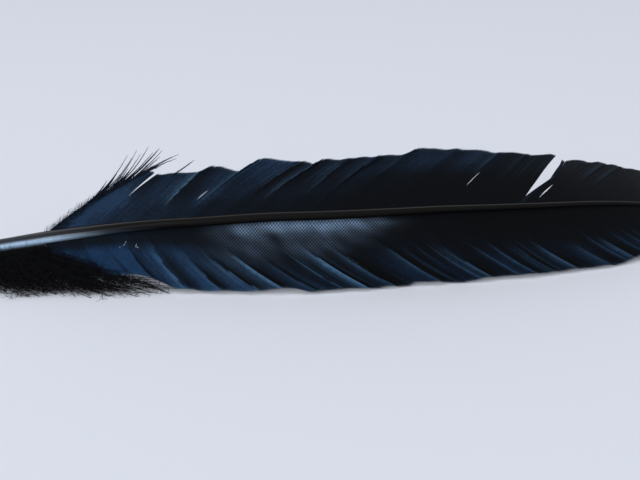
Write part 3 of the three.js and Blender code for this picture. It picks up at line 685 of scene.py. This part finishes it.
# Barbs that have come loose from the far vane's first locks: each carries on along its barb and
# then curves up towards its tip.  A fringe of free barbules stands along the foot's own edge.
def makeLoose():
    form, height = looseForm, looseForm["height"]
    table = np.asarray(form["barbs"], float)
    # Shorter barbs stand between them, each drawn from two neighbours.
    mix, first = np.modf(dice.uniform(0, len(table) - 2.01, form["fillers"]))
    mix = mix[:, None]
    first = first.astype(int)
    between = table[first] * (1 - mix) + table[first + 1] * mix
    edge = vanePoint(farVane, between[:, 0], between[:, 1], height)
    reach = dice.uniform(*form["reach"], len(mix))[:, None]
    between[:, 2:] = edge + (between[:, 2:] - edge) * reach

    table = np.concatenate([table, between])
    root, startShare, tip = table[:, 0], table[:, 1], table[:, 2:]
    start = vanePoint(farVane, root, startShare, height)
    before = vanePoint(farVane, root, startShare - form["lead"], height)
    far = np.linalg.norm(tip - start, axis=-1, keepdims=True)
    bend = start + unit(start - before) * far * form["bend"]
    path = bentPath(start, bend, tip, form["rings"])
    u = np.linspace(0, 1, form["rings"])[None]
    thick = form["radius"] * (1 - form["taper"] * u ** 2) + np.zeros((len(root), 1))
    faces = strandFaces(len(root), form["rings"], form["sides"])
    barbs = makeStrands(path, thick, form["sides"]), faces
    barbules = makeHairs(path[:, :-2], **form["barbules"])

    fringeRoot = np.linspace(*form["fringeRoots"])[:, None]
    share = np.linspace(*form["fringeShares"])[None]
    lines = vanePoint(farVane, fringeRoot, share, form["fringeHeight"])
    points, faces = joined([barbs, barbules, makeHairs(lines, **form["fringe"])])
    return makeMesh("loose_barbs", points, faces)


loose = makeLoose()

# lint: a few pale fibres caught on the near vane, each from one root station and share to another.
lintForm = {
    "fibres": [
        (-79.4, 0.34, -78.2, 0.29), (-78.2, 0.29, -77.2, 0.245), (-81.2, 0.385, -80.7, 0.35),
        (-75.2, 0.33, -73.8, 0.27), (-74.6, 0.31, -74.2, 0.34),
    ],
    "height": 0.3, "radius": 0.11, "taper": 0.75, "rings": 7, "sides": 5,
}


# Each fibre runs straight across the barbs, thinner at both ends.
def makeLint():
    fibres = np.asarray(lintForm["fibres"])
    start, startShare, end, endShare = (column[:, None] for column in fibres.T)
    u = np.linspace(0, 1, lintForm["rings"])[None]
    root = start + (end - start) * u
    share = startShare + (endShare - startShare) * u
    path = vanePoint(nearVane, root, share, lintForm["height"])
    thick = lintForm["radius"] * (1 - lintForm["taper"] * (2 * u - 1) ** 2) + 0 * start
    faces = strandFaces(len(fibres), lintForm["rings"], lintForm["sides"])
    return makeMesh("lint", makeStrands(path, thick, lintForm["sides"]), faces)


lint = makeLint()


# A socket that takes arithmetic: every operator adds a Math node, and node adds any other kind.
class Wire:
    def __init__(self, tree, socket=None):
        self.tree = tree
        self.socket = socket

    # Settings first, then each input's value or link, by name or number; gives one output.
    def node(self, kind, settings, inputs, output=0):
        made = self.tree.nodes.new(kind)
        for name, choice in settings.items():
            setattr(made, name, choice)
        for label, given in inputs.items():
            if isinstance(given, Wire):
                self.tree.links.new(given.socket, made.inputs[label])
            else:
                made.inputs[label].default_value = given
        return Wire(self.tree, made.outputs[output])

    def math(self, operation, first, second=0.0):
        return self.node("ShaderNodeMath", {"operation": operation}, {0: first, 1: second})

    def __add__(self, other):
        return self.math("ADD", self, other)

    def __sub__(self, other):
        return self.math("SUBTRACT", self, other)

    def __mul__(self, other):
        return self.math("MULTIPLY", self, other)

    def __rsub__(self, other):
        return self.math("SUBTRACT", other, self)

    __radd__, __rmul__ = __add__, __mul__

    # From 0 at low to 1 at high, easing in and out.
    def ramp(self, low, high):
        return self.node("ShaderNodeMapRange", {"interpolation_type": "SMOOTHSTEP"},
                         {0: self, 1: low, 2: high})

    # A factor that is 1 where this is a half, and differs by amount from this at 0 to this at 1.
    def varied(self, amount):
        return self * amount + (1 - amount / 2)

    # A colour between two, by this share.
    def colour(self, first, second):
        return self.node("ShaderNodeMix", {"data_type": "RGBA", "clamp_factor": True},
                         {0: self, 6: first, 7: second}, output=2)

    # One of the mesh's own values.
    def value(self, label):
        return self.node("ShaderNodeAttribute", {"attribute_name": label}, {}, output=2)

    # The place on the piece, in metres.
    def place(self):
        return self.node("ShaderNodeTexCoord", {}, {}, output=3)

    # This place, scaled along x, y and z.
    def scaled(self, scale):
        return self.node("ShaderNodeMapping", {}, {"Vector": self, "Scale": scale})

    # Soft noise at this place.
    def noise(self, scale, detail):
        return self.node("ShaderNodeTexNoise", {},
                         {"Vector": self, "Scale": scale, "Detail": detail})

    # This height as a fine relief.
    def bump(self, settings):
        return self.node("ShaderNodeBump", {}, {"Height": self, **settings})


# An opaque colour from linear red, green and blue.
def rgb(red, green, blue):
    return (red, green, blue, 1)


# A material with its surface shader's constant sockets set.  Gives the material, a plain wire to
# start nodes from, and a setter of the shader's varying sockets.
def newMaterial(name, constants):
    material = bpy.data.materials.new(name)
    material.use_nodes = True
    tree = material.node_tree
    shader = tree.nodes["Principled BSDF"]
    for label, value in constants.items():
        shader.inputs[label].default_value = value

    def feed(label, wire):
        tree.links.new(wire.socket, shader.inputs[label])

    return material, Wire(tree), feed


# navy: the barbs' own blue.  lip: the colour of the painted highlight on each lock's lip.
nearLook = {"navy": rgb(0.0088, 0.0290, 0.068), "lipHighlight": rgb(0.046, 0.106, 0.180)}
farLook = {"navy": rgb(0.014, 0.0312, 0.0625), "lipHighlight": rgb(0.042, 0.092, 0.140)}
# lattice: its pitch along the blade and up it, in metres.  hooks: how many rows of them a barb has.
# patches, specks: each noise's scale and detail.  roughness: plain, then what a hook and a barb's
# own tone add.
vaneLook = {
    "constants": {"Specular IOR Level": 0.03, "Coat Roughness": 0.4},
    # sheen: the colour of the painted sheen, a pale painted highlight beside the shaft.
    "black": rgb(0.0028, 0.0029, 0.0028), "paintedSheen": rgb(0.178, 0.262, 0.372),
    "lattice": (0.00126, 0.00112), "latticeRamp": (-0.5, 0.6), "latticeDepth": 0.8, "hooks": 64,
    "patches": (170.0, 3.0), "specks": (1100.0, 1.0),
    "toneVaries": 0.4, "patchesVary": 0.6, "specksVary": 1.3, "sheenVaries": 1.2,
    "roughness": (0.42, 0.12, 0.06), "lipCoat": 0.12, "sheenCoat": 0.2,
    "bump": {"Strength": 0.3, "Distance": 0.00006},
}


# A vane: black under a navy bloom, with a painted highlight along each lock's lip and a painted
# sheen, a pale painted highlight, beside the shaft.  The painted sheen is broken into the fine
# lattice that the barbs' hooks make: a sine along the blade times a sine up it.
def vaneMaterial(name, look):
    material, start, feed = newMaterial(name, vaneLook["constants"])
    bloom, lipHighlight, paintedSheen = start.value("bloom"), start.value("lipHighlight"), start.value("paintedSheen")
    share, tone = start.value("share"), start.value("tone")
    place = start.place()
    waves = []
    for axis, pitch in zip((0, 2), vaneLook["lattice"]):
        distance = start.node("ShaderNodeSeparateXYZ", {}, {0: place}, output=axis)
        waves.append(start.math("SINE", distance * (2 * np.pi / pitch)))
    lattice = (waves[0] * waves[1]).ramp(*vaneLook["latticeRamp"])
    hooks = start.math("SINE", share * (vaneLook["hooks"] * 2 * np.pi)) * 0.5 + 0.5
    patches, specks = place.noise(*vaneLook["patches"]), place.noise(*vaneLook["specks"])
    grain = tone.varied(vaneLook["toneVaries"]) * patches.varied(vaneLook["patchesVary"])
    grain = grain * specks.varied(vaneLook["specksVary"])
    colour = (bloom * grain).colour(vaneLook["black"], look["navy"])
    # The lips' painted highlight.
    colour = (lipHighlight * grain).colour(colour, look["lipHighlight"])
    depth = vaneLook["latticeDepth"]
    # The painted sheen, broken into the lattice.
    paintedShine = paintedSheen * patches.varied(vaneLook["sheenVaries"]) * (lattice * depth + (1 - depth))
    feed("Base Color", paintedShine.colour(colour, vaneLook["paintedSheen"]))
    plain, byHook, byTone = vaneLook["roughness"]
    feed("Roughness", plain + hooks * byHook + tone * byTone)
    feed("Coat Weight", lipHighlight * vaneLook["lipCoat"] + paintedSheen * vaneLook["sheenCoat"])
    feed("Normal", hooks.bump(vaneLook["bump"]))
    return material


# bladed: the stations between which the part with vanes begins.  clearHalf, clear: where the clear
# back, pale horn with a painted highlight, loses clearLoss of itself, and then the rest.  line,
# lineFade: where the pale line, a painted highlight, begins, and where it loses lineLoss of itself.
# shade: how dark the streaks are, and how dark the underside is made as painted shade.
# roughness: plain, then what the vanes' part and a streak add.  coat: plain, then what the vanes'
# part takes off.  relief: of the streaks and of the rings.
shaftLook = {
    "constants": {"Specular IOR Level": 0.05, "Coat Roughness": 0.2},
    "quill": rgb(0.012, 0.014, 0.018),
    # horn: pale horn with a painted highlight in it.  edge: the pale line's painted highlight.
    # dark: the streaks and the underside's painted shade.
    "hornAndHighlight": rgb(0.50, 0.68, 0.88),
    "rachis": rgb(0.0058, 0.0053, 0.0042),
    "edge": rgb(0.072, 0.067, 0.062),
    "dark": rgb(0.002, 0.002, 0.002),
    "bladed": (-112, -78),
    "clearHalf": (-110, -86), "clearLoss": 0.62, "clear": (-88, -54),
    "line": (-118, -106), "lineFade": (-85, -50), "lineLoss": 0.42,
    "streakScale": (0.04, 1.0, 1.0), "streaks": (900.0, 3.0),
    "ringScale": (1.0, 0.1, 0.1), "rings": (700.0, 2.0), "ringsVary": 0.5,
    "shade": (0.3, 0.7), "roughness": (0.26, 0.2, 0.08), "coat": (0.4, 0.38),
    "relief": (0.5, 0.7), "bump": {"Strength": 0.4, "Distance": 0.00008},
}


# The shaft: pale horn with a painted highlight on it along the quill's back and dark brown between
# the vanes, darker underneath as painted shade, with a paler line along its far edge as a painted
# highlight, fine streaks along it and faint rings across it.
def shaftMaterial():
    material, start, feed = newMaterial("shaft_horn", shaftLook["constants"])
    station, edge = start.value("station"), start.value("edge")
    back, underShade = start.value("back"), start.value("underShade")
    place = start.place()
    streaks = place.scaled(shaftLook["streakScale"]).noise(*shaftLook["streaks"])
    rings = place.scaled(shaftLook["ringScale"]).noise(*shaftLook["rings"])
    bladed = station.ramp(*shaftLook["bladed"])
    clear = 1 - station.ramp(*shaftLook["clearHalf"]) * shaftLook["clearLoss"]
    clear = clear * (1 - station.ramp(*shaftLook["clear"]))
    body = bladed.colour(shaftLook["quill"], shaftLook["rachis"])
    # The quill's back: pale horn with a painted highlight on it.
    body = (back * clear * rings.varied(shaftLook["ringsVary"])).colour(body, shaftLook["hornAndHighlight"])
    byStreak, byUnder = shaftLook["shade"]
    # Streaks darken the shaft as they are; its underside darkens as painted shade.
    body = (streaks * byStreak + underShade * bladed * byUnder).colour(body, shaftLook["dark"])
    # The pale line along the far edge is a painted highlight.
    line = edge * station.ramp(*shaftLook["line"])
    line = line * (1 - station.ramp(*shaftLook["lineFade"]) * shaftLook["lineLoss"])
    feed("Base Color", line.colour(body, shaftLook["edge"]))
    plain, byVanes, byStreak = shaftLook["roughness"]
    feed("Roughness", plain + bladed * byVanes + streaks * byStreak)
    plain, byVanes = shaftLook["coat"]
    feed("Coat Weight", plain - bladed * byVanes)
    byStreak, byRing = shaftLook["relief"]
    feed("Normal", (streaks * byStreak + rings * byRing).bump(shaftLook["bump"]))
    return material


downLook = {"dark": rgb(0.003, 0.003, 0.0035), "pale": rgb(0.009, 0.009, 0.0098)}
looseLook = {"dark": rgb(0.0045, 0.006, 0.011), "pale": rgb(0.012, 0.016, 0.03)}
softLook = {
    "constants": {"Specular IOR Level": 0.08}, "patches": (160.0, 2.0), "roughness": (0.55, 0.3),
}
lintLook = {
    "constants": {"Roughness": 0.9, "Specular IOR Level": 0.1}, "patches": (900.0, 1.0),
    "dark": rgb(0.16, 0.19, 0.23), "pale": rgb(0.5, 0.54, 0.6),
}


# The down and the loose barbs: soft and dark, paler and rougher in patches.
def downMaterial(name, look):
    material, start, feed = newMaterial(name, softLook["constants"])
    patches = start.place().noise(*softLook["patches"])
    feed("Base Color", patches.colour(look["dark"], look["pale"]))
    plain, byPatch = softLook["roughness"]
    feed("Roughness", plain + patches * byPatch)
    return material


# Lint: a dull pale fibre, darker in patches.
def lintMaterial():
    material, start, feed = newMaterial("lint_pale", lintLook["constants"])
    patches = start.place().noise(*lintLook["patches"])
    feed("Base Color", patches.colour(lintLook["dark"], lintLook["pale"]))
    return material


dressing = [
    (near, vaneMaterial("near_barbs", nearLook), "vane"),
    (far, vaneMaterial("far_barbs", farLook), "vane"),
    (shaft, shaftMaterial(), "shaft"),
    (down, downMaterial("down_black", downLook), "down"),
    (loose, downMaterial("loose_dark", looseLook), "down"),
    (lint, lintMaterial(), "down"),
]
for piece, material, slot in dressing:
    piece.data.materials.append(material)
    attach(piece, "root")
    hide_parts("feather")
print("materials made")

floorForm = {
    "size": 6.0,
    "look": {"Base Color": rgb(0.755, 0.758, 0.765), "Roughness": 0.6, "Specular IOR Level": 0.2},
}
roomForm = {"colour": rgb(0.81, 0.85, 0.96), "strength": 0.96}
windowForm = {"from": (-1.45, -1.93, 0.95), "size": 0.8, "energy": 26, "colour": (0.9, 0.95, 1)}
cameraForm = {"lens": 50.625, "sensor": 36, "nearest": 0.01, "elevation": 20, "distance": 390}


# A plain pale floor under the blade.
def makeFloor():
    half = floorForm["size"] / 2
    corners = [(-half, -half, 0), (half, -half, 0), (half, half, 0), (-half, half, 0)]
    mesh = bpy.data.meshes.new("floor")
    mesh.from_pydata(corners, [], [(0, 1, 2, 3)])
    floor = bpy.data.objects.new("floor", mesh)
    bpy.context.scene.collection.objects.link(floor)
    mesh.materials.append(newMaterial("floor_pale", floorForm["look"])[0])


# One soft window to the left, behind the camera, and even light from all sides.
def makeLights():
    data = bpy.data.lights.new("window", "AREA")
    data.size = windowForm["size"]
    data.energy = windowForm["energy"]
    data.color = windowForm["colour"]
    window = bpy.data.objects.new("window", data)
    window.location = windowForm["from"]
    window.rotation_mode = "QUATERNION"
    window.rotation_quaternion = (-Vector(windowForm["from"])).to_track_quat("-Z", "Y")
    bpy.context.scene.collection.objects.link(window)
    room = bpy.data.worlds.new("room")
    room.use_nodes = True
    background = room.node_tree.nodes["Background"]
    background.inputs["Color"].default_value = roomForm["colour"]
    background.inputs["Strength"].default_value = roomForm["strength"]
    bpy.context.scene.world = room


# The camera looks along +y and down, at the blade's own origin.
def makeCamera():
    data = bpy.data.cameras.new("camera")
    data.lens = cameraForm["lens"]
    data.sensor_width = cameraForm["sensor"]
    data.clip_start = cameraForm["nearest"]
    camera = bpy.data.objects.new("camera", data)
    elevation = np.radians(cameraForm["elevation"])
    back = np.array([0, -np.cos(elevation), np.sin(elevation)]) * cameraForm["distance"]
    camera.location = (back + np.array(blade["setDown"])) * mm
    camera.rotation_euler = (np.pi / 2 - elevation, 0, 0)
    bpy.context.scene.collection.objects.link(camera)
    bpy.context.scene.camera = camera


makeFloor()
makeLights()
makeCamera()
bpy.context.scene.view_settings.view_transform = "Standard"
print("floor, light and camera made")
